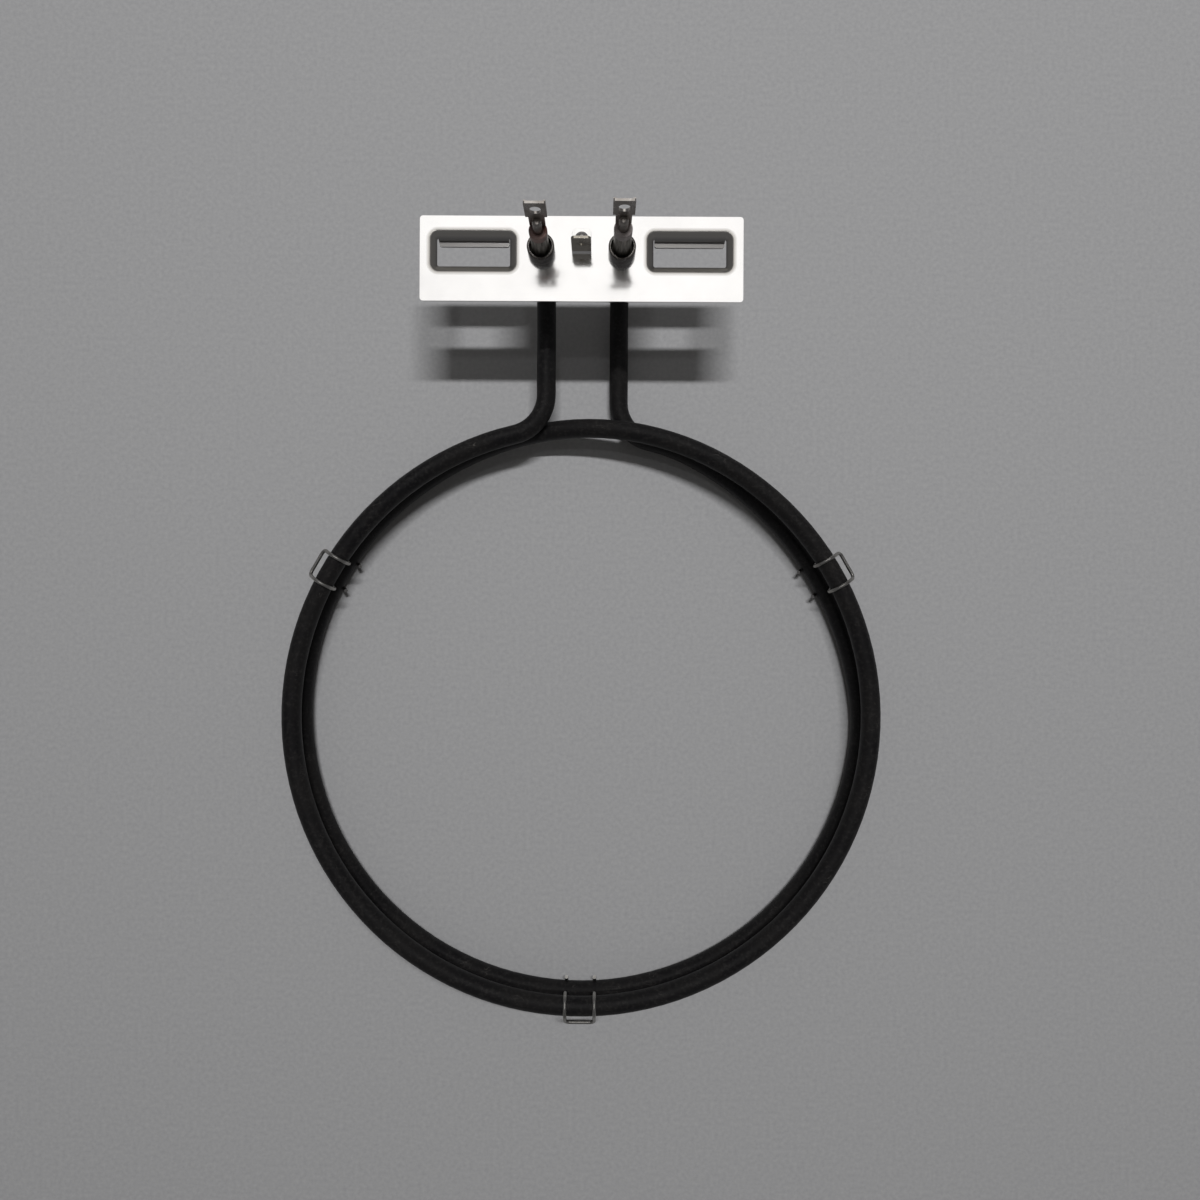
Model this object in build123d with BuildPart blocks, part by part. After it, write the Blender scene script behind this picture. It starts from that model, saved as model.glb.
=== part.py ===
"""Two-turn tubular heating element for a fan oven, with its mounting plate and terminals.

Millimetres, +Z up. The origin is on the axis of the ring, in the plane that the three
ring clips rest on. +Y runs from the ring towards the mounting plate.
"""

from build123d import *
from math import acos, atan2, cos, degrees, hypot, pi, radians, sin, sqrt
import os

os.makedirs("parts", exist_ok=True)

# ---- driving dimensions -------------------------------------------------------------
# sheathed tube
tube_diameter = 6.5
sheath_wall = 0.7
neck_diameter = 5.4
neck_wall = 0.45
ring_radius = 99.2
turn_pitch = 12.0
leg_spacing = 25.0
shoulder_bend = 14.0  # between each leg and the ring, in the plane of the ring
riser_bend = 12.0  # where each leg turns up towards the plate
bridge_start_angle = 64.0
bridge_end_angle = 130.0
closing_start_angle = -6.0
closing_end_angle = 75.0
closing_flat = 2.7  # the lower turn lies this far inside the ring as it closes
closing_corner_angle = 13.0

# inside the sheath
coil_diameter = 3.0
packing_clearance = 0.02
pin_diameter = 2.8
pin_tail = 12.0
pin_rise = 5.4
pin_flat_depth = 0.4
pin_nose = 0.9
fit_clearance = 0.03

# mounting plate
terminal_reach = 148.0
plate_height = 27.8  # top face of the plate above the upper turn
plate_width = 100.4
plate_depth = 26.4
plate_thickness = 1.0
plate_corner = 1.0
plate_offset = 2.3  # the terminals stand this far behind the middle of the plate
window_spacing = 67.4
window_width = 27.5
window_depth = 13.4
window_corner = 3.0
rim_width = 2.4
rim_bend = 1.3
rim_angle = 38.0
tongue_side_gap = 0.35
tongue_bend = 0.7
tongue_fall = 0.3
tongue_lip = 1.2
tongue_lip_angle = 84.0
tongue_corner = 0.8

# bushes, seals and terminals
bush_diameter = 8.4
bush_height = 4.2
bush_seat_diameter = 7.6
bush_collar_diameter = 9.0
bush_collar_height = 0.7
bush_rim = 0.3
bush_recess = 2.2
bush_edge = 0.3
neck_bottom = 1.2  # where the sheath starts to narrow, above the plate
neck_top = 2.0
left_sheath_rise = 12.3
right_sheath_rise = 14.0
bead_diameter = 5.5
bead_height = 2.9
bead_spigot = 3.0
bead_edge = 0.4
tab_width = 6.3
tab_thickness = 0.8
tab_length = 8.6
tab_corner = 0.5
tab_neck_width = 4.7
tab_neck_length = 5.8
tab_bead_gap = 0.3
tab_curl_width = 0.8
tab_curl = 0.5
tab_slot_width = 3.2
tab_slot_length = 4.2
tab_slot_drop = 4.3

# earth tag
earth_width = 6.0
earth_thickness = 0.8
earth_height = 10.6
earth_foot = 7.2
earth_bend = 0.4
earth_chamfer = 0.8
earth_dimple = 1.5
earth_dimple_drop = 4.6
earth_foot_corner = 1.6
rivet_diameter = 3.0
rivet_head_diameter = 4.2
rivet_head_height = 1.1
rivet_tail_diameter = 4.6
rivet_tail_height = 0.7
rivet_setback = 4.1

# ring clips
wire_diameter = 1.2
clip_width = 10.0
clip_clearance = 0.05
clip_corner = 1.6
clip_flare = 4.2
clip_flare_angle = 45.0
clip_tip = 3.0
clip_tip_angle = 210.0
clip_angles = {"right": 30.0, "left": 150.0, "front": 270.0}

# ---- places worked out from them ----------------------------------------------------
tube_radius = tube_diameter / 2
bore_radius = tube_radius - sheath_wall
neck_radius = neck_diameter / 2
neck_bore_radius = neck_radius - neck_wall
pin_radius = pin_diameter / 2
wire_radius = wire_diameter / 2
hug_radius = tube_radius + wire_radius + clip_clearance
lower_level = hug_radius + wire_radius
upper_level = lower_level + turn_pitch
plate_top = upper_level + plate_height
plate_bottom = plate_top - plate_thickness
leg_x = leg_spacing / 2
sheath_rise = {"left": left_sheath_rise, "right": right_sheath_rise}
side_x = {"left": -leg_x, "right": leg_x}
side_level = {"left": upper_level, "right": lower_level}


# ---- route of the tube --------------------------------------------------------------
def ring_station(angle, level):
    """A point of the ring and the way the tube runs there, anticlockwise from above."""
    turn = radians(angle)
    return (
        Vector(ring_radius * cos(turn), ring_radius * sin(turn), level),
        Vector(-sin(turn), cos(turn), 0),
    )


def biarc_joint(start, end):
    """The station where two tangent arcs from start to end meet."""
    (p0, t0), (p1, t1) = start, end
    chord = p1 - p0
    a = 2 * (t0.dot(t1) - 1)
    b = -2 * chord.dot(t0 + t1)
    c = chord.dot(chord)
    reach = (-b - sqrt(b * b - 4 * a * c)) / (2 * a)
    corner0 = p0 + t0 * reach
    corner1 = p1 - t1 * reach
    return (corner0 + corner1) * 0.5, (corner1 - corner0).normalized()


def closing_arcs():
    """Radii of the short end arcs and of the long flat arc that close the lower turn."""
    half = radians((closing_end_angle - closing_start_angle) / 2)
    flat_half = half - radians(closing_corner_angle)
    a1 = sin(flat_half)
    b1 = sin(half) - sin(flat_half)
    c1 = ring_radius * sin(half)
    a2 = 1 - cos(flat_half)
    b2 = cos(flat_half) - cos(half)
    c2 = ring_radius * (1 - cos(half)) - closing_flat
    span = a1 * b2 - a2 * b1
    return (a1 * c2 - a2 * c1) / span, (c1 * b2 - c2 * b1) / span


closing_corner_radius, closing_radius = closing_arcs()
closing_middle = (closing_start_angle + closing_end_angle) / 2
closing_centre = ring_radius - closing_flat - closing_radius
closing_half = (closing_end_angle - closing_start_angle) / 2 - closing_corner_angle


def closing_station(angle):
    """A station on the flat arc, where the tube points square to the given angle."""
    turn = radians(angle)
    middle = radians(closing_middle)
    return (
        Vector(
            closing_centre * cos(middle) + closing_radius * cos(turn),
            closing_centre * sin(middle) + closing_radius * sin(turn),
            lower_level,
        ),
        Vector(-sin(turn), cos(turn), 0),
    )


def turn_reach(angle, across, level):
    """How far out a turn runs at an angle, in the plane that lies across from that radius."""
    out = radians(angle)
    middle = radians(closing_middle)
    on_flat = level == lower_level and abs(angle - closing_middle) < closing_half
    if not on_flat:
        return sqrt(ring_radius**2 - across**2)
    centre_out = closing_centre * cos(out - middle)
    centre_across = closing_centre * sin(middle - out)
    return centre_out + sqrt(closing_radius**2 - (across - centre_across) ** 2)


shoulder_x = leg_x + shoulder_bend
shoulder_y = sqrt((ring_radius + shoulder_bend) ** 2 - shoulder_x**2)
left_shoulder_angle = degrees(atan2(shoulder_y, -shoulder_x))
right_shoulder_angle = 180 - left_shoulder_angle
up = Vector(0, 0, 1)
back = Vector(0, 1, 0)


def riser_stations(side, top, tail):
    """The stations of one end, from its top down the riser and along the leg."""
    x = side_x[side]
    level = side_level[side]
    return [
        (Vector(x, terminal_reach, top), up * -1),
        (Vector(x, terminal_reach, level + riser_bend), up * -1),
        (Vector(x, terminal_reach - riser_bend, level), back * -1),
        (Vector(x, tail, level), back * -1),
    ]


def reverse(stations):
    return [(point, way * -1) for point, way in reversed(stations)]


bridge_start = ring_station(bridge_start_angle, upper_level)
bridge_end = ring_station(bridge_end_angle, lower_level)
ring_stations = [
    ring_station(left_shoulder_angle, upper_level),
    ring_station(180, upper_level),
    ring_station(270, upper_level),
    ring_station(0, upper_level),
    bridge_start,
    biarc_joint(bridge_start, bridge_end),
    bridge_end,
    ring_station(180, lower_level),
    ring_station(270, lower_level),
    ring_station(closing_start_angle, lower_level),
    closing_station(closing_middle - closing_half),
    closing_station(closing_middle + closing_half),
    ring_station(closing_end_angle, lower_level),
    ring_station(right_shoulder_angle, lower_level),
]


def route(left_top, right_top):
    """The whole tube, from the top of the left riser to the top of the right one."""
    left = riser_stations("left", left_top, shoulder_y)
    right = riser_stations("right", right_top, shoulder_y)
    return left + ring_stations + reverse(right)


def draw_route(stations):
    """Join the stations by straight runs and tangent arcs, inside a BuildLine."""
    for (start, way), (end, _) in zip(stations, stations[1:]):
        chord = end - start
        if chord.cross(way).length < 1e-6 * chord.length:
            Line(start, end)
        else:
            TangentArc(start, end, tangent=way)


def section_plane(station):
    """The plane square to the tube at a station."""
    point, way = station
    across = Vector(1, 0, 0) if abs(way.X) < 0.5 else Vector(0, 1, 0)
    return Plane(origin=point, x_dir=across - way * across.dot(way), z_dir=way)


# ---- sheath -------------------------------------------------------------------------
sheath_base = plate_top + neck_bottom
sheath_route = route(sheath_base, sheath_base)

with BuildPart() as sheath_tube:
    with BuildLine() as sheath_line:
        draw_route(sheath_route)
    with BuildSketch(section_plane(sheath_route[0])):
        Circle(tube_radius)
        Circle(bore_radius, mode=Mode.SUBTRACT)
    sweep(path=sheath_line.line)
    for side, x in side_x.items():
        top = plate_top + sheath_rise[side]
        narrow = plate_top + neck_top
        with BuildSketch(Plane.XZ.offset(-terminal_reach)):
            with BuildLine():
                Polyline(
                    (x + bore_radius, sheath_base),
                    (x + tube_radius, sheath_base),
                    (x + neck_radius, narrow),
                    (x + neck_radius, top),
                    (x + neck_bore_radius, top),
                    (x + neck_bore_radius, narrow),
                    close=True,
                )
            make_face()
        revolve(axis=Axis((x, terminal_reach, 0), (0, 0, 1)))

# ---- magnesia packed round the coil -------------------------------------------------
with BuildPart() as magnesia_fill:
    with BuildLine() as magnesia_line:
        draw_route(sheath_route)
    with BuildSketch(section_plane(sheath_route[0])):
        Circle(bore_radius - packing_clearance)
        Circle(coil_diameter / 2 + packing_clearance, mode=Mode.SUBTRACT)
    sweep(path=magnesia_line.line)

# ---- resistance coil, as the rod that its turns and core fill ------------------------
pin_end = terminal_reach - riser_bend - pin_tail
left_coil_end = (Vector(-leg_x, pin_end, upper_level), back * -1)
right_coil_end = (Vector(leg_x, pin_end, lower_level), back)
left_leg_end = (Vector(-leg_x, shoulder_y, upper_level), back * -1)
right_leg_end = (Vector(leg_x, shoulder_y, lower_level), back)
coil_route = [left_coil_end, left_leg_end] + ring_stations + [right_leg_end, right_coil_end]

with BuildPart() as heating_coil:
    with BuildLine() as coil_line:
        draw_route(coil_route)
    with BuildSketch(section_plane(coil_route[0])):
        Circle(coil_diameter / 2)
    sweep(path=coil_line.line)


# ---- cold pins, end seals and ceramic beads -----------------------------------------
def make_pin(side):
    """A terminal pin: from the coil, up the riser and out of the bead to its tab."""
    x = side_x[side]
    bead_top = plate_top + sheath_rise[side] + bead_height
    stations = riser_stations(side, bead_top + pin_rise, pin_end + packing_clearance)
    with BuildPart() as pin:
        with BuildLine() as line:
            draw_route(stations)
        with BuildSketch(section_plane(stations[0])):
            Circle(pin_radius)
        sweep(path=line.line)
        fillet(pin.edges().filter_by(GeomType.CIRCLE).group_by(Axis.Z)[-1], pin_nose)
        # the welded end is flattened on the side of the tab
        with BuildSketch(Plane.XY.offset(bead_top + tab_bead_gap / 2)):
            with Locations((x, terminal_reach + pin_radius)):
                Rectangle(pin_diameter * 2, pin_flat_depth * 2)
        extrude(amount=pin_rise + tab_bead_gap, mode=Mode.SUBTRACT)
    return pin.part


def make_seal(side):
    """The seal that closes the sheath, between the magnesia and the bead's spigot."""
    bottom = plate_top + neck_top + packing_clearance
    top = plate_top + sheath_rise[side] - bead_spigot - packing_clearance
    with BuildPart() as seal:
        with BuildSketch(Plane.XY.offset(bottom)):
            with Locations((side_x[side], terminal_reach)):
                Circle(neck_bore_radius - packing_clearance)
                Circle(pin_radius + packing_clearance, mode=Mode.SUBTRACT)
        extrude(amount=top - bottom)
    return seal.part


def make_bead(side):
    """A ceramic bead: a short cylinder on the sheath's end with a spigot down its bore."""
    x = side_x[side]
    base = plate_top + sheath_rise[side]
    with BuildPart() as bead:
        with BuildSketch(Plane.XY.offset(base)):
            with Locations((x, terminal_reach)):
                Circle(bead_diameter / 2)
        extrude(amount=bead_height)
        fillet(bead.edges().group_by(Axis.Z)[-1], bead_edge)
        with BuildSketch(Plane.XY.offset(base - bead_spigot)):
            with Locations((x, terminal_reach)):
                Circle(neck_bore_radius - fit_clearance)
        extrude(amount=bead_spigot)
        with Locations((x, terminal_reach, base + bead_height)):
            Hole(pin_radius + fit_clearance)
    return bead.part


# ---- blade terminals ----------------------------------------------------------------
def make_tab(side):
    """A slotted push-on blade with curled sides, welded to the flat of its pin."""
    x = side_x[side]
    foot = plate_top + sheath_rise[side] + bead_height + tab_bead_gap
    shoulder = foot + tab_neck_length
    tip = shoulder + tab_length
    face_y = terminal_reach + pin_radius - pin_flat_depth + packing_clearance
    with BuildPart() as tab:
        with BuildSketch(Plane.XZ.offset(-face_y)) as outline:
            with Locations((x, (shoulder + tip) / 2)):
                Rectangle(tab_width, tab_length)
            with Locations((x, (foot + shoulder) / 2)):
                Rectangle(tab_neck_width, tab_neck_length)
            fillet(outline.vertices().group_by(Axis.Y)[-1], tab_corner)
            fillet(outline.vertices().group_by(Axis.Y)[0], tab_corner)
            with Locations((x, tip - tab_slot_drop)):
                SlotOverall(tab_slot_length, tab_slot_width, rotation=90, mode=Mode.SUBTRACT)
        extrude(amount=-tab_thickness)
        with BuildSketch(Plane.XY.offset(shoulder)):
            for turn in (-1, 1):
                middle = x + turn * (tab_width - tab_curl_width) / 2
                with Locations((middle, face_y + (tab_thickness + tab_curl) / 2)):
                    Rectangle(tab_curl_width, tab_thickness + tab_curl)
        extrude(amount=tab_length - tab_corner)
    return tab.part


# ---- bushes that carry the sheath in the plate --------------------------------------
def make_bush(side):
    """A turned bush: collar under the plate, neck in its hole, recessed ring on top."""
    x = side_x[side]
    bore = tube_radius + fit_clearance
    outer = bush_diameter / 2
    seat = bush_seat_diameter / 2 - fit_clearance
    rim = outer - bush_edge
    with BuildPart() as bush:
        with BuildSketch(Plane.XZ.offset(-terminal_reach)):
            with BuildLine():
                Polyline(
                    (x + bore, plate_bottom - bush_collar_height),
                    (x + bush_collar_diameter / 2, plate_bottom - bush_collar_height),
                    (x + bush_collar_diameter / 2, plate_bottom),
                    (x + seat, plate_bottom),
                    (x + seat, plate_top),
                    (x + outer, plate_top),
                    (x + outer, plate_top + bush_height - bush_edge),
                )
                RadiusArc(
                    (x + outer, plate_top + bush_height - bush_edge),
                    (x + rim, plate_top + bush_height),
                    -bush_edge,
                )
                Polyline(
                    (x + rim, plate_top + bush_height),
                    (x + rim - bush_rim, plate_top + bush_height),
                    (x + bore, plate_top + bush_height - bush_recess),
                    (x + bore, plate_bottom - bush_collar_height),
                )
            make_face()
        revolve(axis=Axis((x, terminal_reach, 0), (0, 0, 1)))
    return bush.part


sided_parts = {}
for side in side_x:
    sided_parts[side + "_cold_pin"] = make_pin(side)
    sided_parts[side + "_end_seal"] = make_seal(side)
    sided_parts[side + "_ceramic_bead"] = make_bead(side)
    sided_parts[side + "_blade_terminal"] = make_tab(side)
    sided_parts[side + "_bush"] = make_bush(side)

# ---- mounting plate -----------------------------------------------------------------
plate_y = terminal_reach - plate_offset
rim_slope = radians(rim_angle)
rim_straight = (rim_width - rim_bend * sin(rim_slope)) / cos(rim_slope)
window_xs = (-window_spacing / 2, window_spacing / 2)
window_back = terminal_reach + window_depth / 2
rivet_y = terminal_reach - earth_thickness / 2 + rivet_setback


def on_rim(depth, turn, run=0.0):
    """A point of the rim's section: at a depth in the sheet, round the bend, then on along it."""
    radius = rim_bend - depth
    inwards = radius * sin(turn) + run * cos(turn)
    return (inwards, radius * cos(turn) - rim_bend - run * sin(turn))


def rim_profile():
    """The formed rim's section, from the edge of the flat sheet inwards and down."""
    shares = (0, 0.5, 1)
    end = on_rim(0, rim_slope, rim_straight)
    under_end = on_rim(plate_thickness, rim_slope, rim_straight)
    with BuildLine() as profile:
        Line(on_rim(plate_thickness, 0), on_rim(0, 0))
        ThreePointArc(*[on_rim(0, rim_slope * share) for share in shares])
        Polyline(on_rim(0, rim_slope), end, under_end, on_rim(plate_thickness, rim_slope))
        ThreePointArc(*[on_rim(plate_thickness, rim_slope * share) for share in reversed(shares)])
    return profile.line


def tongue_line():
    """The middle of the tongue's sheet: fold, fall and level lip."""
    inwards, down = on_rim(plate_thickness / 2, rim_slope, rim_straight)
    with BuildLine() as line:
        fold = JernArc(
            (window_back - inwards, plate_top + down),
            (-cos(rim_slope), -sin(rim_slope)),
            tongue_bend,
            90 - rim_angle,
        )
        fall = PolarLine(fold @ 1, tongue_fall, direction=fold % 1)
        kick = JernArc(fall @ 1, fall % 1, tongue_bend, -tongue_lip_angle)
        PolarLine(kick @ 1, tongue_lip, direction=kick % 1)
    return line.line


def make_tongue(x):
    """The tongue that is left on a window's back side, with rounded corners on its lip."""
    half = window_width / 2 - rim_width - tongue_side_gap
    with BuildPart() as tongue:
        with BuildSketch(Plane(origin=(x - half, 0, 0), x_dir=(0, 1, 0), z_dir=(1, 0, 0))):
            trace(tongue_line().edges(), plate_thickness)
        extrude(amount=2 * half)
        tip = tongue.faces().sort_by(Axis.Y)[0]
        fillet(tip.edges().group_by(SortBy.LENGTH)[0], tongue_corner)
    return tongue.part


window_edges = []
for x in window_xs:
    with BuildSketch(Plane.XY.offset(plate_top)) as window:
        with Locations((x, terminal_reach)):
            RectangleRounded(window_width, window_depth, window_corner)
    window_edges.append(window.sketch.wire())
tongues = [make_tongue(x) for x in window_xs]

with BuildPart() as mounting_plate:
    with BuildSketch(Plane.XY.offset(plate_bottom)):
        with Locations((0, plate_y)):
            RectangleRounded(plate_width, plate_depth, plate_corner)
        with Locations(*[(x, terminal_reach) for x in window_xs]):
            RectangleRounded(window_width, window_depth, window_corner, mode=Mode.SUBTRACT)
        with Locations(*[(x, terminal_reach) for x in side_x.values()]):
            Circle(bush_seat_diameter / 2, mode=Mode.SUBTRACT)
        with Locations((0, rivet_y)):
            Circle(rivet_diameter / 2 + fit_clearance, mode=Mode.SUBTRACT)
    extrude(amount=plate_thickness)
    for edge in window_edges:
        along = edge % 0
        with BuildSketch(Plane(origin=edge @ 0, x_dir=up.cross(along), z_dir=along)):
            make_face(rim_profile().edges())
        sweep(path=edge)
    add(tongues)

# ---- earth tag and its rivet --------------------------------------------------------
earth_front = terminal_reach - earth_thickness / 2
earth_base = plate_top + packing_clearance

with BuildPart() as earth_tab:
    with BuildSketch(Plane.YZ.offset(-earth_width / 2)) as side_view:
        with BuildLine():
            Polyline(
                (earth_front, earth_base),
                (earth_front + earth_foot, earth_base),
                (earth_front + earth_foot, earth_base + earth_thickness),
                (earth_front + earth_thickness, earth_base + earth_thickness),
                (earth_front + earth_thickness, earth_base + earth_height),
                (earth_front, earth_base + earth_height),
                close=True,
            )
        make_face()
        inner_corner = side_view.vertices().sort_by_distance(
            (earth_front + earth_thickness, earth_base + earth_thickness)
        )[0]
        outer_corner = side_view.vertices().sort_by_distance((earth_front, earth_base))[0]
        fillet(inner_corner, earth_bend)
        fillet(outer_corner, earth_bend + earth_thickness / 2)
    extrude(amount=earth_width)
    chamfer(earth_tab.edges().filter_by(Axis.Y).group_by(Axis.Z)[-1], earth_chamfer)
    fillet(earth_tab.edges().filter_by(Axis.Z).group_by(Axis.Y)[-1], earth_foot_corner)
    with BuildSketch(Plane.XZ.offset(-earth_front)):
        with Locations((0, earth_base + earth_height - earth_dimple_drop)):
            Circle(earth_dimple / 2)
    extrude(amount=-earth_thickness, mode=Mode.SUBTRACT)
    with Locations((0, rivet_y, earth_base + earth_thickness)):
        Hole(rivet_diameter / 2 + fit_clearance, depth=earth_thickness)

with BuildPart() as earth_rivet:
    head_base = earth_base + earth_thickness + packing_clearance
    tail_top = plate_bottom - packing_clearance
    head_radius = rivet_head_diameter / 2
    with BuildSketch(Plane.XZ.offset(-rivet_y)):
        with BuildLine():
            Polyline(
                (0, head_base + rivet_head_height),
                (0, tail_top - rivet_tail_height),
                (rivet_tail_diameter / 2, tail_top - rivet_tail_height),
                (rivet_tail_diameter / 2, tail_top),
                (rivet_diameter / 2, tail_top),
                (rivet_diameter / 2, head_base),
                (head_radius, head_base),
            )
            dome = (head_radius**2 + rivet_head_height**2) / (2 * rivet_head_height)
            RadiusArc((head_radius, head_base), (0, head_base + rivet_head_height), -dome)
        make_face()
    revolve(axis=Axis((0, rivet_y, 0), (0, 0, 1)))


# ---- ring clips ---------------------------------------------------------------------
def clip_leg_stations(angle, across):
    """One leg of a clip, from its tip under the lower turn to the flare over the upper.

    The leg lies in a plane at a tangential distance from the clip's middle. It hugs the
    outside and underside of the lower turn, crosses between the turns and hugs the inside
    and crown of the upper one.
    """
    turn = radians(angle)
    outward = Vector(cos(turn), sin(turn), 0)
    along = Vector(-sin(turn), cos(turn), 0)
    upper = turn_reach(angle, across, upper_level)
    lower = turn_reach(angle, across, lower_level)
    fall = atan2(-turn_pitch, lower - upper)
    part_angle = acos(2 * hug_radius / hypot(turn_pitch, lower - upper))

    def station(radius, level, at, sense):
        point = outward * (radius + hug_radius * cos(at)) + along * across
        point = point + up * (level + hug_radius * sin(at))
        way = (outward * -sin(at) + up * cos(at)) * sense
        return point, way

    first = station(lower, lower_level, radians(clip_tip_angle), 1)
    last = station(upper, upper_level, radians(clip_flare_angle), -1)
    return [
        (first[0] - first[1] * clip_tip, first[1]),
        first,
        station(lower, lower_level, -pi / 2, 1),
        station(lower, lower_level, fall + pi - part_angle, 1),
        station(upper, upper_level, fall - part_angle, -1),
        station(upper, upper_level, pi / 2, -1),
        last,
        (last[0] + last[1] * (clip_flare - clip_corner), last[1]),
    ]


def make_clip(angle):
    """A spring-wire clip: two S-shaped legs joined by a cross bar outside the ring."""
    turn = radians(angle)
    along = Vector(-sin(turn), cos(turn), 0)
    first = clip_leg_stations(angle, -clip_width / 2)
    second = clip_leg_stations(angle, clip_width / 2)
    (left_end, way), (right_end, _) = first[-1], second[-1]
    bar = [
        (left_end + (way + along) * clip_corner, along),
        (right_end + (way - along) * clip_corner, along),
    ]
    stations = first + bar + reverse(second)
    with BuildPart() as clip:
        with BuildLine() as line:
            draw_route(stations)
        with BuildSketch(section_plane(stations[0])):
            Circle(wire_radius)
        sweep(path=line.line)
    return clip.part


clip_parts = {name + "_ring_clip": make_clip(angle) for name, angle in clip_angles.items()}

# ---- labels and files ---------------------------------------------------------------
parts = {
    "sheath_tube": sheath_tube.part,
    "magnesia_fill": magnesia_fill.part,
    "heating_coil": heating_coil.part,
    **sided_parts,
    "mounting_plate": mounting_plate.part,
    "earth_tab": earth_tab.part,
    "earth_rivet": earth_rivet.part,
    **clip_parts,
}
for name, part in parts.items():
    part.label = name
    export_step(part, f"parts/{name}.step")
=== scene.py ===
# %% [markdown]
# # A two-turn fan oven element
# The object is a heating element as it lies on a bench: a dark steel tube bent into two
# turns, three spring wire clips that hold the turns apart, a bright plate that bolts to the
# oven's back wall, and two terminals with an earth tag that stand up behind it.
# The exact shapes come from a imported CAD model. This lesson gives them the finish of the
# real metal and ceramic, then lights them on a plain floor.

# %% Load the frame
import math

import bmesh
import bpy
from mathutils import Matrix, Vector


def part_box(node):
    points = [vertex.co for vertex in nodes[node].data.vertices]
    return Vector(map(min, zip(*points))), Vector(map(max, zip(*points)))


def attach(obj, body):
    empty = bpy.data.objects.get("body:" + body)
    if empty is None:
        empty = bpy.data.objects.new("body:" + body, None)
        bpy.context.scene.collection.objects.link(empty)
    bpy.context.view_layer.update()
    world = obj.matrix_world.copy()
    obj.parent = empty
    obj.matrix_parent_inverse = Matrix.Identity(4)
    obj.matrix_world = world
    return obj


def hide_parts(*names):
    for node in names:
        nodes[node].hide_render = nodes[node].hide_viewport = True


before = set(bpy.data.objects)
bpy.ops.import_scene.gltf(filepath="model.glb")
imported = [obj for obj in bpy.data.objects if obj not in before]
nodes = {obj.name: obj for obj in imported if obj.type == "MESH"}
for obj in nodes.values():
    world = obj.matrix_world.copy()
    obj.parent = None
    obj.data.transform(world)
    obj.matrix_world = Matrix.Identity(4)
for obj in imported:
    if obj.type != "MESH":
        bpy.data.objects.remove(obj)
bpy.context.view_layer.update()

MM = 0.001

# %% [markdown]
# ## The camera
# The view is from straight above, with the plate at the top of the picture. A wide lens
# close to the object makes everything that stands higher look larger and lean outwards:
# that is why the upper turn hides most of the lower one, and why the terminals show
# their sides. So the height of the camera matters as much as its direction.

# %% Camera straight above the element
CAMERA_HEIGHT = 311 * MM
CAMERA_X = 6.26 * MM
CAMERA_Y = 39.9 * MM
CAMERA_ROLL = math.radians(0.3)
LENS = 25.8

camera_data = bpy.data.cameras.new("overhead_camera")
camera_data.sensor_width = 36
camera_data.lens = LENS
camera_data.clip_start = 0.01
camera = bpy.data.objects.new("overhead_camera", camera_data)
camera.location = (CAMERA_X, CAMERA_Y, CAMERA_HEIGHT)
camera.rotation_euler = (0, 0, CAMERA_ROLL)
bpy.context.scene.collection.objects.link(camera)
bpy.context.scene.camera = camera
print("camera", round(CAMERA_HEIGHT / MM), "mm above the floor")

# %% [markdown]
# ## Helpers for node trees
# Every finish below is a small tree of nodes. Two short helpers add a node with its
# settings and join two sockets, so that each tree reads from top to bottom.

# %% Node helpers
def add_node(tree, kind, inputs=None, **settings):
    node = tree.nodes.new(kind)
    for name, value in settings.items():
        setattr(node, name, value)
    for name, value in (inputs or {}).items():
        node.inputs[name].default_value = value
    return node


def join(tree, source, target):
    tree.links.new(source, target)


def maths(tree, operation, first, second=None):
    node = add_node(tree, "ShaderNodeMath", operation=operation)
    for socket, value in zip(node.inputs, (first, second)):
        if value is None:
            continue
        if isinstance(value, (int, float)):
            socket.default_value = value
        else:
            join(tree, value, socket)
    return node.outputs["Value"]


def ramp(tree, value, low, high, out_low=0.0, out_high=1.0):
    node = add_node(tree, "ShaderNodeMapRange", clamp=True)
    for name, number in (("From Min", low), ("From Max", high), ("To Min", out_low), ("To Max", out_high)):
        if isinstance(number, (int, float)):
            node.inputs[name].default_value = number
        else:
            join(tree, number, node.inputs[name])
    join(tree, value, node.inputs["Value"])
    return node.outputs["Result"]


def blend(tree, amount, first, second):
    node = add_node(tree, "ShaderNodeMix", data_type="RGBA")
    for socket, value in ((node.inputs[6], first), (node.inputs[7], second)):
        if isinstance(value, tuple):
            socket.default_value = (*value, 1.0)
        else:
            join(tree, value, socket)
    if isinstance(amount, (int, float)):
        node.inputs[0].default_value = amount
    else:
        join(tree, amount, node.inputs[0])
    return node.outputs[2]


def start_group(name, inputs, outputs):
    group = bpy.data.node_groups.new(name, "ShaderNodeTree")
    for label, default in inputs.items():
        kind = "NodeSocketVector" if isinstance(default, tuple) else "NodeSocketFloat"
        socket = group.interface.new_socket(name=label, in_out="INPUT", socket_type=kind)
        socket.default_value = default
    for label in outputs:
        group.interface.new_socket(name=label, in_out="OUTPUT", socket_type="NodeSocketFloat")
    entry = group.nodes.new("NodeGroupInput").outputs
    leave = group.nodes.new("NodeGroupOutput").inputs
    return group, entry, leave


def position(tree):
    coordinates = add_node(tree, "ShaderNodeTexCoord")
    ways = add_node(tree, "ShaderNodeSeparateXYZ")
    join(tree, coordinates.outputs["Object"], ways.inputs["Vector"])
    return ways.outputs


def place_group(tree, group, **inputs):
    node = add_node(tree, "ShaderNodeGroup", node_tree=group)
    for label, value in inputs.items():
        node.inputs[label.replace("_", " ").capitalize()].default_value = value
    return node.outputs


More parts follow.
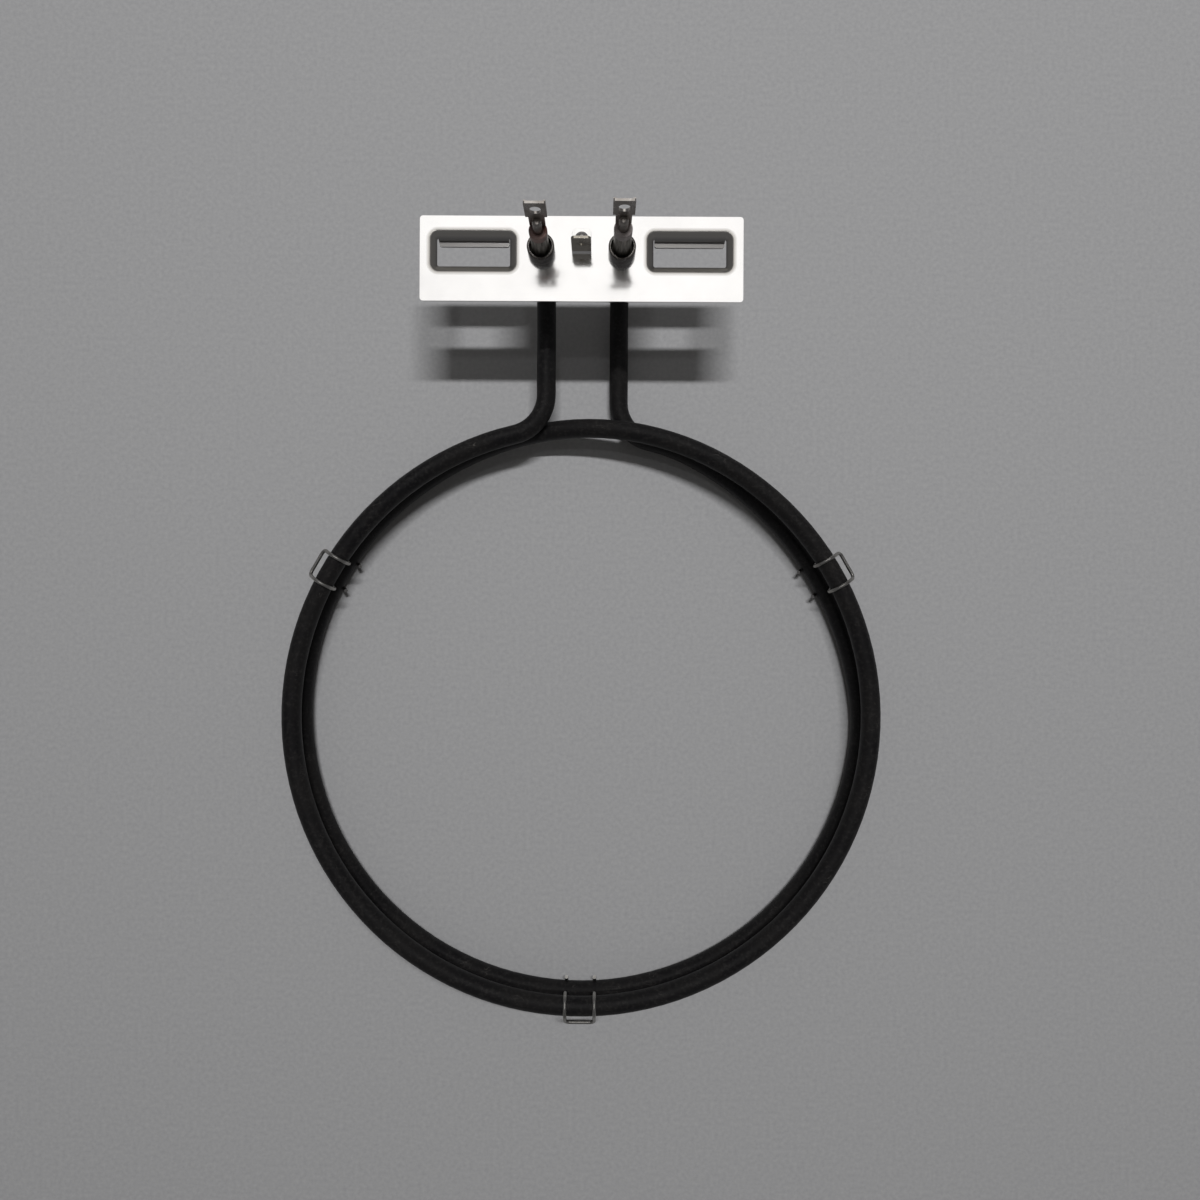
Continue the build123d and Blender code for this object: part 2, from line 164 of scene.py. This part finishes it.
# %% [markdown]
# ## Shared effects
# Real metal is never one even colour. Heat leaves soft blotches, handling leaves fine
# scratches, and rolling leaves a grain. Each effect is one node group that puts out a mask
# from 0 to 1, so that every material below can mix it in with its own scale.

# %% Group: blotches
blotches, entry, leave = start_group("blotches", {"Scale": 60.0, "Low": 0.4, "High": 0.65}, ["Mask"])
coordinates = add_node(blotches, "ShaderNodeTexCoord")
cloud = add_node(blotches, "ShaderNodeTexNoise", {"Detail": 5.0, "Roughness": 0.6})
join(blotches, coordinates.outputs["Object"], cloud.inputs["Vector"])
join(blotches, entry["Scale"], cloud.inputs["Scale"])
join(blotches, ramp(blotches, cloud.outputs["Fac"], entry["Low"], entry["High"]), leave["Mask"])
print("blotches ready")

# %% [markdown]
# Scratches are the thin borders between the cells of a Voronoi pattern that is stretched
# one way. A cloud breaks the long borders into short strokes.

# %% Group: scratches
scratches, entry, leave = start_group(
    "scratches", {"Stretch": (60.0, 600.0, 600.0), "Width": 0.02, "Coverage": 0.4}, ["Mask"]
)
coordinates = add_node(scratches, "ShaderNodeTexCoord")
stretched = add_node(scratches, "ShaderNodeVectorMath", operation="MULTIPLY")
join(scratches, coordinates.outputs["Object"], stretched.inputs[0])
join(scratches, entry["Stretch"], stretched.inputs[1])
cells = add_node(scratches, "ShaderNodeTexVoronoi", {"Scale": 1.0}, feature="DISTANCE_TO_EDGE")
join(scratches, stretched.outputs["Vector"], cells.inputs["Vector"])
line = ramp(scratches, cells.outputs["Distance"], entry["Width"], 0.0)
breaks = add_node(scratches, "ShaderNodeTexNoise", {"Scale": 140.0, "Detail": 3.0})
join(scratches, coordinates.outputs["Object"], breaks.inputs["Vector"])
threshold = maths(scratches, "SUBTRACT", 1.0, entry["Coverage"])
kept = ramp(scratches, breaks.outputs["Fac"], threshold, 1.0, 0.0, 2.0)
join(scratches, maths(scratches, "MULTIPLY", line, kept), leave["Mask"])
print("scratches ready")

# %% [markdown]
# Grain is a cloud that is squeezed across the rolling direction, which turns its spots
# into long parallel hairs.

# %% Group: grain
grain, entry, leave = start_group("grain", {"Stretch": (40.0, 2500.0, 2500.0)}, ["Value"])
coordinates = add_node(grain, "ShaderNodeTexCoord")
stretched = add_node(grain, "ShaderNodeVectorMath", operation="MULTIPLY")
join(grain, coordinates.outputs["Object"], stretched.inputs[0])
join(grain, entry["Stretch"], stretched.inputs[1])
hairs = add_node(grain, "ShaderNodeTexNoise", {"Scale": 1.0, "Detail": 4.0, "Roughness": 0.7})
join(grain, stretched.outputs["Vector"], hairs.inputs["Vector"])
join(grain, hairs.outputs["Fac"], leave["Value"])
print("grain ready")

# %% [markdown]
# Edges lose their tarnish first. The same mask also paints every edge pale as a painted
# highlight, the line of light that an edge catches. The Bevel node returns the normal of a
# slightly rounded copy of the surface, and where that differs from the true normal there is
# an edge.

# %% Group: edge wear and painted edge highlight
edge_wear_and_highlight, entry, leave = start_group("edge wear and highlight", {"Radius": 0.0003, "Strength": 4.0}, ["Mask"])
rounded = add_node(edge_wear_and_highlight, "ShaderNodeBevel", samples=6)
join(edge_wear_and_highlight, entry["Radius"], rounded.inputs["Radius"])
true_face = add_node(edge_wear_and_highlight, "ShaderNodeNewGeometry")
agree = add_node(edge_wear_and_highlight, "ShaderNodeVectorMath", operation="DOT_PRODUCT")
join(edge_wear_and_highlight, rounded.outputs["Normal"], agree.inputs[0])
join(edge_wear_and_highlight, true_face.outputs["Normal"], agree.inputs[1])
differ = maths(edge_wear_and_highlight, "SUBTRACT", 1.0, agree.outputs["Value"])
strength = maths(edge_wear_and_highlight, "MULTIPLY", differ, entry["Strength"])
join(edge_wear_and_highlight, ramp(edge_wear_and_highlight, strength, 0.0, 1.0), leave["Mask"])
print("edge wear and highlight ready")

# %% [markdown]
# ## Finishes
# A small helper starts each material. What is the same all over a piece is set on the
# shader itself, and what varies comes in through the masks.

# %% Start a material
def start_material(name, **settings):
    material = bpy.data.materials.new(name)
    material.use_nodes = True
    shader = material.node_tree.nodes["Principled BSDF"]
    for label, value in settings.items():
        shader.inputs[label.replace("_", " ")].default_value = value
    return material, material.node_tree, shader.inputs


def add_bump(tree, height, normal, distance, strength=1.0):
    bump = add_node(tree, "ShaderNodeBump", {"Strength": strength, "Distance": distance})
    join(tree, height, bump.inputs["Height"])
    join(tree, bump.outputs["Normal"], normal)


# %% [markdown]
# ### Tube
# The sheath is a nickel steel that is blackened in a furnace. It is a dull charcoal with
# cloudy patches, a fine dry grain, and a few pale scratches where it was rubbed. Above the
# plate its ends were drawn down after the furnace, so there the steel is bare: olive grey,
# with streaks that run up the tube. The border is the height of the plate's top face.

# %% Material: oxidised sheath
BUSH_HEIGHT = 4.2 * MM
plate_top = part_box("left_bush")[1][2] - BUSH_HEIGHT
sheath_finish, tree, shader = start_material("oxidised sheath", Specular_IOR_Level=0.25)
patches = place_group(tree, blotches, Scale=45.0, Low=0.38, High=0.68)["Mask"]
speckle = place_group(tree, blotches, Scale=900.0, Low=0.5, High=0.78)["Mask"]
scuffs_and_painted_highlight = place_group(tree, scratches, Stretch=(150.0, 1100.0, 700.0), Width=0.018, Coverage=0.42)["Mask"]
dusty = blend(tree, patches, (0.0050, 0.0047, 0.0053), (0.0120, 0.0112, 0.0110))
grainy = blend(tree, maths(tree, "MULTIPLY", speckle, 0.4), dusty, (0.050, 0.047, 0.045))
blackened = blend(tree, maths(tree, "MULTIPLY", scuffs_and_painted_highlight, 0.5), grainy, (0.24, 0.225, 0.21))

streaks = place_group(tree, grain, Stretch=(2600.0, 2600.0, 130.0))["Value"]
drawn = blend(tree, ramp(tree, streaks, 0.38, 0.64), (0.11, 0.10, 0.085), (0.52, 0.49, 0.44))
bare_and_painted_highlight = ramp(tree, position(tree)["Z"], plate_top, plate_top + 0.8 * MM)
join(tree, blend(tree, bare_and_painted_highlight, blackened, drawn), shader["Base Color"])
join(tree, ramp(tree, bare_and_painted_highlight, 0.0, 1.0, 0.1, 0.9), shader["Metallic"])
satin = ramp(tree, patches, 0.0, 1.0, 0.44, 0.62)
join(tree, maths(tree, "SUBTRACT", satin, maths(tree, "MULTIPLY", bare_and_painted_highlight, 0.12)), shader["Roughness"])
add_bump(tree, speckle, shader["Normal"], 0.00004, 0.5)
print("sheath finish ready")

# %% [markdown]
# ### Plate
# The mounting plate is bright rolled stainless steel. It mirrors what stands on it, but the
# rolling grain, which runs along the plate, blurs the picture. Where the sheet turns down
# round the two windows, the rims and their tongues are painted grey, darker further in: a
# painted shade for the dark room that these slopes mirror. The same mask also makes them
# rougher. Their mask is a rounded box: the distance from the middle of the nearer window.

# %% Material: bright plate
WINDOW_SPACING = 67.4 * MM
WINDOW_WIDTH = 27.5 * MM
WINDOW_DEPTH = 13.4 * MM
WINDOW_CORNER = 3.0 * MM
RIM_SHADE_FADE = 0.9 * MM
bush_low, bush_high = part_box("left_bush")
window_y = (bush_low[1] + bush_high[1]) / 2

plate_finish, tree, shader = start_material("bright plate", Metallic=1.0)
hairs = place_group(tree, grain, Stretch=(60.0, 5200.0, 5200.0))["Value"]
marks = place_group(tree, scratches, Stretch=(120.0, 420.0, 420.0), Width=0.010, Coverage=0.4)["Mask"]
haze = place_group(tree, blotches, Scale=38.0, Low=0.35, High=0.7)["Mask"]
ways = position(tree)
from_middle = maths(tree, "SUBTRACT", maths(tree, "ABSOLUTE", ways["X"]), WINDOW_SPACING / 2)
past_side = maths(tree, "SUBTRACT", maths(tree, "ABSOLUTE", from_middle), WINDOW_WIDTH / 2 - WINDOW_CORNER)
from_line = maths(tree, "ABSOLUTE", maths(tree, "SUBTRACT", ways["Y"], window_y))
past_end = maths(tree, "SUBTRACT", from_line, WINDOW_DEPTH / 2 - WINDOW_CORNER)
corner_reach = add_node(tree, "ShaderNodeCombineXYZ")
join(tree, maths(tree, "MAXIMUM", past_side, 0.0), corner_reach.inputs["X"])
join(tree, maths(tree, "MAXIMUM", past_end, 0.0), corner_reach.inputs["Y"])
reach = add_node(tree, "ShaderNodeVectorMath", operation="LENGTH")
join(tree, corner_reach.outputs["Vector"], reach.inputs[0])
# Painted shade: the rims and tongues get a darker grey colour for the dark room their slopes mirror, and the
# same mask makes them rougher.
rim_dulling_and_painted_shade = ramp(tree, reach.outputs["Value"], WINDOW_CORNER - 0.3 * MM, WINDOW_CORNER + RIM_SHADE_FADE, 1.0, 0.0)
deep_rim_painted_shade = ramp(tree, reach.outputs["Value"], WINDOW_CORNER - 1.6 * MM, WINDOW_CORNER - 2.4 * MM)
rolled = blend(tree, haze, (0.92, 0.91, 0.90), (0.86, 0.85, 0.84))
scratched = blend(tree, maths(tree, "MULTIPLY", marks, 0.5), rolled, (0.62, 0.60, 0.58))
rim_painted_shade_colour = blend(tree, deep_rim_painted_shade, (0.50, 0.48, 0.445), (0.33, 0.32, 0.31))
join(tree, blend(tree, rim_dulling_and_painted_shade, scratched, rim_painted_shade_colour), shader["Base Color"])
mirror = ramp(tree, maths(tree, "ADD", hairs, haze), 0.4, 1.6, 0.10, 0.19)
join(tree, maths(tree, "ADD", mirror, maths(tree, "MULTIPLY", rim_dulling_and_painted_shade, 0.2)), shader["Roughness"])
add_bump(tree, hairs, shader["Normal"], 0.00001, 0.35)
print("plate finish ready")

# %% [markdown]
# ### Small steel pieces
# The blades, the earth tag, the bushes, the pins and the rivet are steel too, but each one
# is a different shade: browner where it has been hot, paler where it is plated, and the
# bushes painted near black, a painted shade for the dark room their walls mirror. One
# function mixes them all from the same masks. Nicks and worn edges turn pale, and the pale
# edges are also a painted highlight. It can also paint a piece pale below a given height:
# a painted highlight on the foot of the earth tag, which faces up into the light.

# %% Materials: small steel pieces
NICK_STRETCH = 0.3
PAINTED_HIGHLIGHT_FADE = 0.2 * MM


def steel_finish(name, light, dark, polished_and_highlight, roughness, stretch, size=260.0, painted_highlight_below=0.0):
    material, tree, shader = start_material(name, Metallic=1.0)
    patches = place_group(tree, blotches, Scale=size, Low=0.36, High=0.66)["Mask"]
    hairs = place_group(tree, grain, Stretch=stretch)["Value"]
    nick_stretch = tuple(NICK_STRETCH * reach for reach in stretch)
    nicks = place_group(tree, scratches, Stretch=nick_stretch, Width=0.03, Coverage=0.45)["Mask"]
    # This edge mask is edge wear and also a painted highlight: every edge turns pale, as an edge that catches
    # the light looks.
    edges = place_group(tree, edge_wear_and_highlight, Radius=0.00022, Strength=3.0)["Mask"]
    tarnished = blend(tree, patches, light, dark)
    hair_lines = maths(tree, "MULTIPLY", ramp(tree, hairs, 0.35, 0.65), 0.35)
    mixed = blend(tree, hair_lines, tarnished, dark)
    bare_and_painted_highlight = maths(tree, "MULTIPLY", maths(tree, "MAXIMUM", edges, nicks), 0.85)
    # Painted highlight: below the given height the piece is painted pale, as the tag's foot looks where it
    # faces up into the light.
    scuffs_and_painted_highlight = ramp(tree, position(tree)["Z"], painted_highlight_below, painted_highlight_below - PAINTED_HIGHLIGHT_FADE)
    bare_and_painted_highlight = maths(tree, "MAXIMUM", bare_and_painted_highlight, scuffs_and_painted_highlight)
    join(tree, blend(tree, bare_and_painted_highlight, mixed, polished_and_highlight), shader["Base Color"])
    join(tree, ramp(tree, patches, 0.0, 1.0, roughness, roughness + 0.14), shader["Roughness"])
    add_bump(tree, hairs, shader["Normal"], 0.00002, 0.5)
    return material


TAG_FOOT_TOP = 1.15 * MM

blade_finish = steel_finish(
    "blade steel", (0.56, 0.53, 0.50), (0.34, 0.31, 0.28), (0.90, 0.88, 0.85), 0.24, (900.0, 900.0, 120.0)
)
# The tag's foot is painted pale up to TAG_FOOT_TOP above the plate: a painted highlight.
tag_finish = steel_finish(
    "tag steel", (0.50, 0.465, 0.40), (0.27, 0.245, 0.205), (0.93, 0.92, 0.90), 0.16, (1500.0, 900.0, 110.0),
    painted_highlight_below=plate_top + TAG_FOOT_TOP,
)
# The bush colours are painted near black: a painted shade for the dark room that the bush walls mirror.
bush_finish = steel_finish(
    "bush steel", (0.17, 0.155, 0.14), (0.06, 0.054, 0.05), (0.95, 0.93, 0.90), 0.20, (600.0, 600.0, 900.0)
)
pin_finish = steel_finish(
    "pin steel", (0.46, 0.43, 0.40), (0.22, 0.20, 0.18), (0.86, 0.84, 0.81), 0.24, (700.0, 700.0, 300.0)
)
rivet_finish = steel_finish(
    "rivet steel", (0.84, 0.82, 0.79), (0.62, 0.59, 0.56), (0.93, 0.92, 0.90), 0.14, (500.0, 500.0, 500.0)
)
wire_finish = steel_finish(
    "clip wire", (0.46, 0.45, 0.43), (0.30, 0.29, 0.27), (0.75, 0.74, 0.72), 0.30, (400.0, 400.0, 400.0)
)
print("six steels ready")

# %% [markdown]
# ### Ceramic
# The two insulating beads are the same off-white steatite, but one of them has turned
# reddish brown on the side of its terminal, where the heat and old grease reached it.
# The stain follows the side, and a cloud makes its border uneven.

# %% Materials: ceramic beads
def ceramic_finish(name, glaze, shade, stain, stain_low, stain_high, centre):
    material, tree, shader = start_material(name, Roughness=0.42, Specular_IOR_Level=0.5)
    patches = place_group(tree, blotches, Scale=420.0, Low=0.35, High=0.7)["Mask"]
    pores = place_group(tree, blotches, Scale=2600.0, Low=0.52, High=0.8)["Mask"]
    depth = maths(tree, "SUBTRACT", position(tree)["Y"], centre)
    border = maths(tree, "ADD", depth, maths(tree, "MULTIPLY", patches, 0.0016))
    stained = ramp(tree, border, stain_low, stain_high)
    clean = blend(tree, patches, glaze, shade)
    join(tree, blend(tree, stained, clean, stain), shader["Base Color"])
    join(tree, ramp(tree, pores, 0.0, 1.0, 0.36, 0.6), shader["Roughness"])
    add_bump(tree, pores, shader["Normal"], 0.00003, 0.4)
    return material


print("ceramic helper ready")

# %% [markdown]
# ### What is sealed inside
# Under the sheath lie the white magnesia packing and the coiled resistance wire, and a
# seal closes each end. None of it shows, but each still gets its own finish, because the
# part may be cut open or shown in pieces.

# %% Materials: inner pieces
def inner_finish(name, light, dark, metallic, roughness):
    material, tree, shader = start_material(name, Metallic=metallic)
    patches = place_group(tree, blotches, Scale=700.0, Low=0.35, High=0.7)["Mask"]
    join(tree, blend(tree, patches, light, dark), shader["Base Color"])
    join(tree, ramp(tree, patches, 0.0, 1.0, roughness, roughness + 0.12), shader["Roughness"])
    return material


magnesia_finish = inner_finish("packed magnesia", (0.84, 0.83, 0.79), (0.74, 0.73, 0.69), 0.0, 0.8)
coil_finish = inner_finish("resistance wire", (0.42, 0.40, 0.38), (0.28, 0.26, 0.25), 1.0, 0.35)
seal_finish = inner_finish("silicone seal", (0.62, 0.60, 0.56), (0.52, 0.49, 0.45), 0.0, 0.5)
print("inner finishes ready")

# %% [markdown]
# ## Pieces
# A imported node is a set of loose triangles. It has the right shape, but its edges are
# knife sharp and each triangle stands alone. So each visible piece is dressed: a Geometry
# Nodes tree reads the node, merges its triangles, lets the surface wander by a few
# hundredths of a millimetre, as bent and drawn metal does, marks the sharp edges and sets
# the finish. Flat faces are then cleaned and a narrow bevel rounds the edges, because a
# real edge always catches a line of light.

# %% The tree that dresses a node
MERGE_DISTANCE = 0.002 * MM
SHARP_ANGLE = math.radians(28)

dressing = bpy.data.node_groups.new("dressing", "GeometryNodeTree")
for label, kind in (
    ("Node", "NodeSocketObject"),
    ("Merge distance", "NodeSocketFloat"),
    ("Sharp angle", "NodeSocketFloat"),
    ("Wander", "NodeSocketFloat"),
    ("Wander scale", "NodeSocketFloat"),
    ("Finish", "NodeSocketMaterial"),
):
    dressing.interface.new_socket(name=label, in_out="INPUT", socket_type=kind)
dressing.interface.new_socket(name="Geometry", in_out="OUTPUT", socket_type="NodeSocketGeometry")
entry = dressing.nodes.new("NodeGroupInput").outputs
leave = dressing.nodes.new("NodeGroupOutput").inputs

read_node = add_node(dressing, "GeometryNodeObjectInfo")
join(dressing, entry["Node"], read_node.inputs["Object"])
merged = add_node(dressing, "GeometryNodeMergeByDistance")
join(dressing, read_node.outputs["Geometry"], merged.inputs["Geometry"])
join(dressing, entry["Merge distance"], merged.inputs["Distance"])

wander_noise = add_node(dressing, "ShaderNodeTexNoise", {"Detail": 1.0})
join(dressing, entry["Wander scale"], wander_noise.inputs["Scale"])
centred = maths(dressing, "SUBTRACT", wander_noise.outputs["Fac"], 0.5)
push = add_node(dressing, "ShaderNodeVectorMath", operation="SCALE")
join(dressing, dressing.nodes.new("GeometryNodeInputNormal").outputs["Normal"], push.inputs[0])
join(dressing, maths(dressing, "MULTIPLY", centred, entry["Wander"]), push.inputs["Scale"])
moved = add_node(dressing, "GeometryNodeSetPosition")
join(dressing, merged.outputs["Geometry"], moved.inputs["Geometry"])
join(dressing, push.outputs["Vector"], moved.inputs["Offset"])

smooth = add_node(dressing, "GeometryNodeSetShadeSmooth", domain="FACE")
join(dressing, moved.outputs["Geometry"], smooth.inputs["Geometry"])
edge_angle = dressing.nodes.new("GeometryNodeInputMeshEdgeAngle")
is_sharp = add_node(dressing, "FunctionNodeCompare", data_type="FLOAT", operation="GREATER_THAN")
join(dressing, edge_angle.outputs["Unsigned Angle"], is_sharp.inputs[0])
join(dressing, entry["Sharp angle"], is_sharp.inputs[1])
sharp = add_node(dressing, "GeometryNodeSetShadeSmooth", {"Shade Smooth": False}, domain="EDGE")
join(dressing, smooth.outputs["Geometry"], sharp.inputs["Geometry"])
join(dressing, is_sharp.outputs["Result"], sharp.inputs["Selection"])
realized = dressing.nodes.new("GeometryNodeRealizeInstances")
join(dressing, sharp.outputs["Geometry"], realized.inputs["Geometry"])
finished = dressing.nodes.new("GeometryNodeSetMaterial")
join(dressing, realized.outputs["Geometry"], finished.inputs["Geometry"])
join(dressing, entry["Finish"], finished.inputs["Material"])
join(dressing, finished.outputs["Geometry"], leave["Geometry"])
print("dressing tree has", len(dressing.nodes), "nodes")

# %% [markdown]
# The tree is run by a modifier on an empty carrier. Its result is copied out as a plain
# mesh, so that nothing depends on the tree afterwards.

# %% Run the tree
def run_tree(tree, values, name):
    carrier = bpy.data.objects.new(name + "_carrier", bpy.data.meshes.new(name + "_carrier"))
    bpy.context.scene.collection.objects.link(carrier)
    modifier = carrier.modifiers.new("tree", "NODES")
    modifier.node_group = tree
    identifiers = {item.name: item.identifier for item in tree.interface.items_tree if item.in_out == "INPUT"}
    for label, value in values.items():
        modifier[identifiers[label]] = value
    evaluated = carrier.evaluated_get(bpy.context.evaluated_depsgraph_get())
    mesh = bpy.data.meshes.new_from_object(evaluated)
    mesh.name = name
    bpy.data.objects.remove(carrier)
    piece = bpy.data.objects.new(name, mesh)
    bpy.context.scene.collection.objects.link(piece)
    return piece


def clean_flats(piece, angle=math.radians(0.4)):
    editing = bmesh.new()
    editing.from_mesh(piece.data)
    bmesh.ops.dissolve_limit(editing, angle_limit=angle, verts=editing.verts, edges=editing.edges)
    editing.to_mesh(piece.data)
    editing.free()


def dress(node, finish, bevel=0.0, wander=0.0, wander_scale=30.0):
    piece = run_tree(
        dressing,
        {
            "Node": nodes[node],
            "Merge distance": MERGE_DISTANCE,
            "Sharp angle": SHARP_ANGLE,
            "Wander": wander,
            "Wander scale": wander_scale,
            "Finish": finish,
        },
        node + "_dressed",
    )
    if bevel:
        clean_flats(piece)
        rounding = piece.modifiers.new("rounding", "BEVEL")
        rounding.limit_method = "ANGLE"
        rounding.angle_limit = SHARP_ANGLE
        rounding.width = bevel
        rounding.segments = 2
        rounding.harden_normals = True
    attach(piece, "root")
    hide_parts(node)
    print(node, len(piece.data.polygons), "faces")
    return piece


# %% [markdown]
# ### The tube and what is inside it
# The long tube is the one piece that everything else hangs on. Only a slight wander is
# added, so that its highlight is not a perfect line. The sealed pieces keep the packed
# mesh, and only their finish is set.

# %% Dress the tube
dress("sheath_tube", sheath_finish, wander=0.10 * MM, wander_scale=55.0)


def set_finish(node, finish):
    nodes[node].data.materials.clear()
    nodes[node].data.materials.append(finish)


set_finish("magnesia_fill", magnesia_finish)
set_finish("heating_coil", coil_finish)
set_finish("left_end_seal", seal_finish)
set_finish("right_end_seal", seal_finish)

# %% [markdown]
# ### The plate
# The plate is stamped: its windows are turned down round a small radius, and a tongue is
# left in each. A bevel of a tenth of a millimetre stands for the punched edge.

# %% Dress the plate
dress("mounting_plate", plate_finish, bevel=0.10 * MM)

# %% [markdown]
# ### Terminals
# Each terminal is a stack: bush, ceramic bead, pin, and the flat blade that a push-on
# connector grips. The beads get their stain by the depth from the middle of the stack.

# %% Dress the terminals
low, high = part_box("right_ceramic_bead")
terminal_y = (low[1] + high[1]) / 2
clean_ceramic = ceramic_finish(
    "steatite",
    glaze=(0.48, 0.43, 0.42),
    shade=(0.33, 0.29, 0.28),
    stain=(0.28, 0.18, 0.155),
    stain_low=1.0 * MM,
    stain_high=4.0 * MM,
    centre=terminal_y,
)
stained_ceramic = ceramic_finish(
    "stained steatite",
    glaze=(0.38, 0.26, 0.235),
    shade=(0.25, 0.15, 0.135),
    stain=(0.10, 0.038, 0.028),
    stain_low=-1.4 * MM,
    stain_high=1.0 * MM,
    centre=terminal_y,
)
for side, ceramic, ceramic_slot in (
    ("left", stained_ceramic, "stained_ceramic"),
    ("right", clean_ceramic, "ceramic"),
):
    dress(side + "_bush", bush_finish, bevel=0.06 * MM)
    dress(side + "_ceramic_bead", ceramic, bevel=0.05 * MM)
    dress(side + "_cold_pin", pin_finish, bevel=0.06 * MM)
    dress(side + "_blade_terminal", blade_finish, bevel=0.08 * MM)

# %% [markdown]
# ### Earth tag and rivet
# The tag is a bent strip, riveted to the plate through its foot.

# %% Dress the earth tag
dress("earth_tab", tag_finish, bevel=0.08 * MM)
dress("earth_rivet", rivet_finish)

# %% [markdown]
# ### Ring clips
# Each clip is one bright spring wire that wraps both turns and ends in two small feet.

# %% Dress the clips
for side in ("right", "left", "front"):
    dress(side + "_ring_clip", wire_finish)

# %% [markdown]
# ## Floor and light
# The floor is a plain pale grey sheet. One long tube lamp hangs high over the plate's end,
# so the plate's shadow falls towards the ring, with the light of its two windows in it, and
# that shadow is sharper along the ring's axis than across it. A second, small and weak
# lamp only puts sparks of light on rounded edges.

# %% Floor
FLOOR_HALF = 1.5
floor_mesh = bpy.data.meshes.new("floor")
corners = [(-1, -1), (1, -1), (1, 1), (-1, 1)]
floor_mesh.from_pydata([(x * FLOOR_HALF, y * FLOOR_HALF, 0.0) for x, y in corners], [], [(0, 1, 2, 3)])
floor = bpy.data.objects.new("floor", floor_mesh)
bpy.context.scene.collection.objects.link(floor)
floor_finish, tree, shader = start_material("floor", Roughness=0.7)
speckles = place_group(tree, blotches, Scale=700.0, Low=0.3, High=0.7)["Mask"]
join(tree, blend(tree, speckles, (0.345, 0.345, 0.355), (0.41, 0.41, 0.415)), shader["Base Color"])
floor_mesh.materials.append(floor_finish)
print("floor ready")

# %% [markdown]
# A surface looks as bright as its colour is written when the light that reaches it, over
# pi, is 1. Here the shares add up to a little less. Most of it comes from the long lamp
# and only an eighth from the sky, so the shadows are deep. Polished metal sees a ceiling
# light in the sky where the plate mirrors it, and a dim room around.

# %% Sky and lamps
SKY_STRENGTH = 0.11
BENCH_LAMP_SHARE = 0.74
SPARK_LAMP_SHARE = 0.025
LAMP_DISTANCE = 1.5
AIM = Vector((0, 145 * MM, 44 * MM))
CEILING_TILT = math.radians(26)
CEILING_CORE = math.radians(13.5)
CEILING_EDGE = math.radians(26)
DIM_ROOM = (0.14, 0.14, 0.145)
CEILING_LIGHT = (1.12, 1.11, 1.10)

sky = bpy.data.worlds.new("sky")
sky.use_nodes = True
tree = sky.node_tree
tree.nodes.clear()
seen = add_node(tree, "ShaderNodeBackground", {"Color": (0.80, 0.80, 0.81, 1), "Strength": 1.0})
lit = add_node(tree, "ShaderNodeBackground", {"Color": (1.0, 0.975, 0.935, 1), "Strength": SKY_STRENGTH})
mirrored = add_node(tree, "ShaderNodeBackground", {"Strength": 1.0})
direction = add_node(tree, "ShaderNodeTexCoord")
nearness = add_node(tree, "ShaderNodeVectorMath", operation="DOT_PRODUCT")
nearness.inputs[1].default_value = (0.0, math.sin(CEILING_TILT), math.cos(CEILING_TILT))
join(tree, direction.outputs["Generated"], nearness.inputs[0])
ceiling = ramp(tree, nearness.outputs["Value"], math.cos(CEILING_EDGE), math.cos(CEILING_CORE))
join(tree, blend(tree, ceiling, DIM_ROOM, CEILING_LIGHT), mirrored.inputs["Color"])
rays = add_node(tree, "ShaderNodeLightPath")
by_gloss = add_node(tree, "ShaderNodeMixShader")
join(tree, rays.outputs["Is Glossy Ray"], by_gloss.inputs["Fac"])
join(tree, lit.outputs["Background"], by_gloss.inputs[1])
join(tree, mirrored.outputs["Background"], by_gloss.inputs[2])
by_camera = add_node(tree, "ShaderNodeMixShader")
join(tree, rays.outputs["Is Camera Ray"], by_camera.inputs["Fac"])
join(tree, by_gloss.outputs["Shader"], by_camera.inputs[1])
join(tree, seen.outputs["Background"], by_camera.inputs[2])
sky_output = add_node(tree, "ShaderNodeOutputWorld")
join(tree, by_camera.outputs["Shader"], sky_output.inputs["Surface"])
bpy.context.scene.world = sky
bpy.context.scene.view_settings.view_transform = "Standard"


def hang_lamp(name, tilt, sideways, share, length, width):
    data = bpy.data.lights.new(name, "AREA")
    data.shape = "RECTANGLE"
    data.size = length
    data.size_y = width
    data.energy = share * math.pi**2 * LAMP_DISTANCE**2
    lamp = bpy.data.objects.new(name, data)
    aside, back = math.radians(sideways), math.radians(tilt)
    offset = Vector((math.tan(aside), math.tan(back), 1.0)).normalized()
    lamp.location = AIM + offset * LAMP_DISTANCE
    lamp.rotation_euler = (-back, aside, 0)
    bpy.context.scene.collection.objects.link(lamp)
    return lamp


bench_lamp = hang_lamp("bench_lamp", tilt=16.7, sideways=4.8, share=BENCH_LAMP_SHARE, length=0.52, width=0.05)
bench_lamp.visible_glossy = False
hang_lamp("spark_lamp", tilt=6, sideways=-2, share=SPARK_LAMP_SHARE, length=0.06, width=0.06)
print("lamps and sky ready")
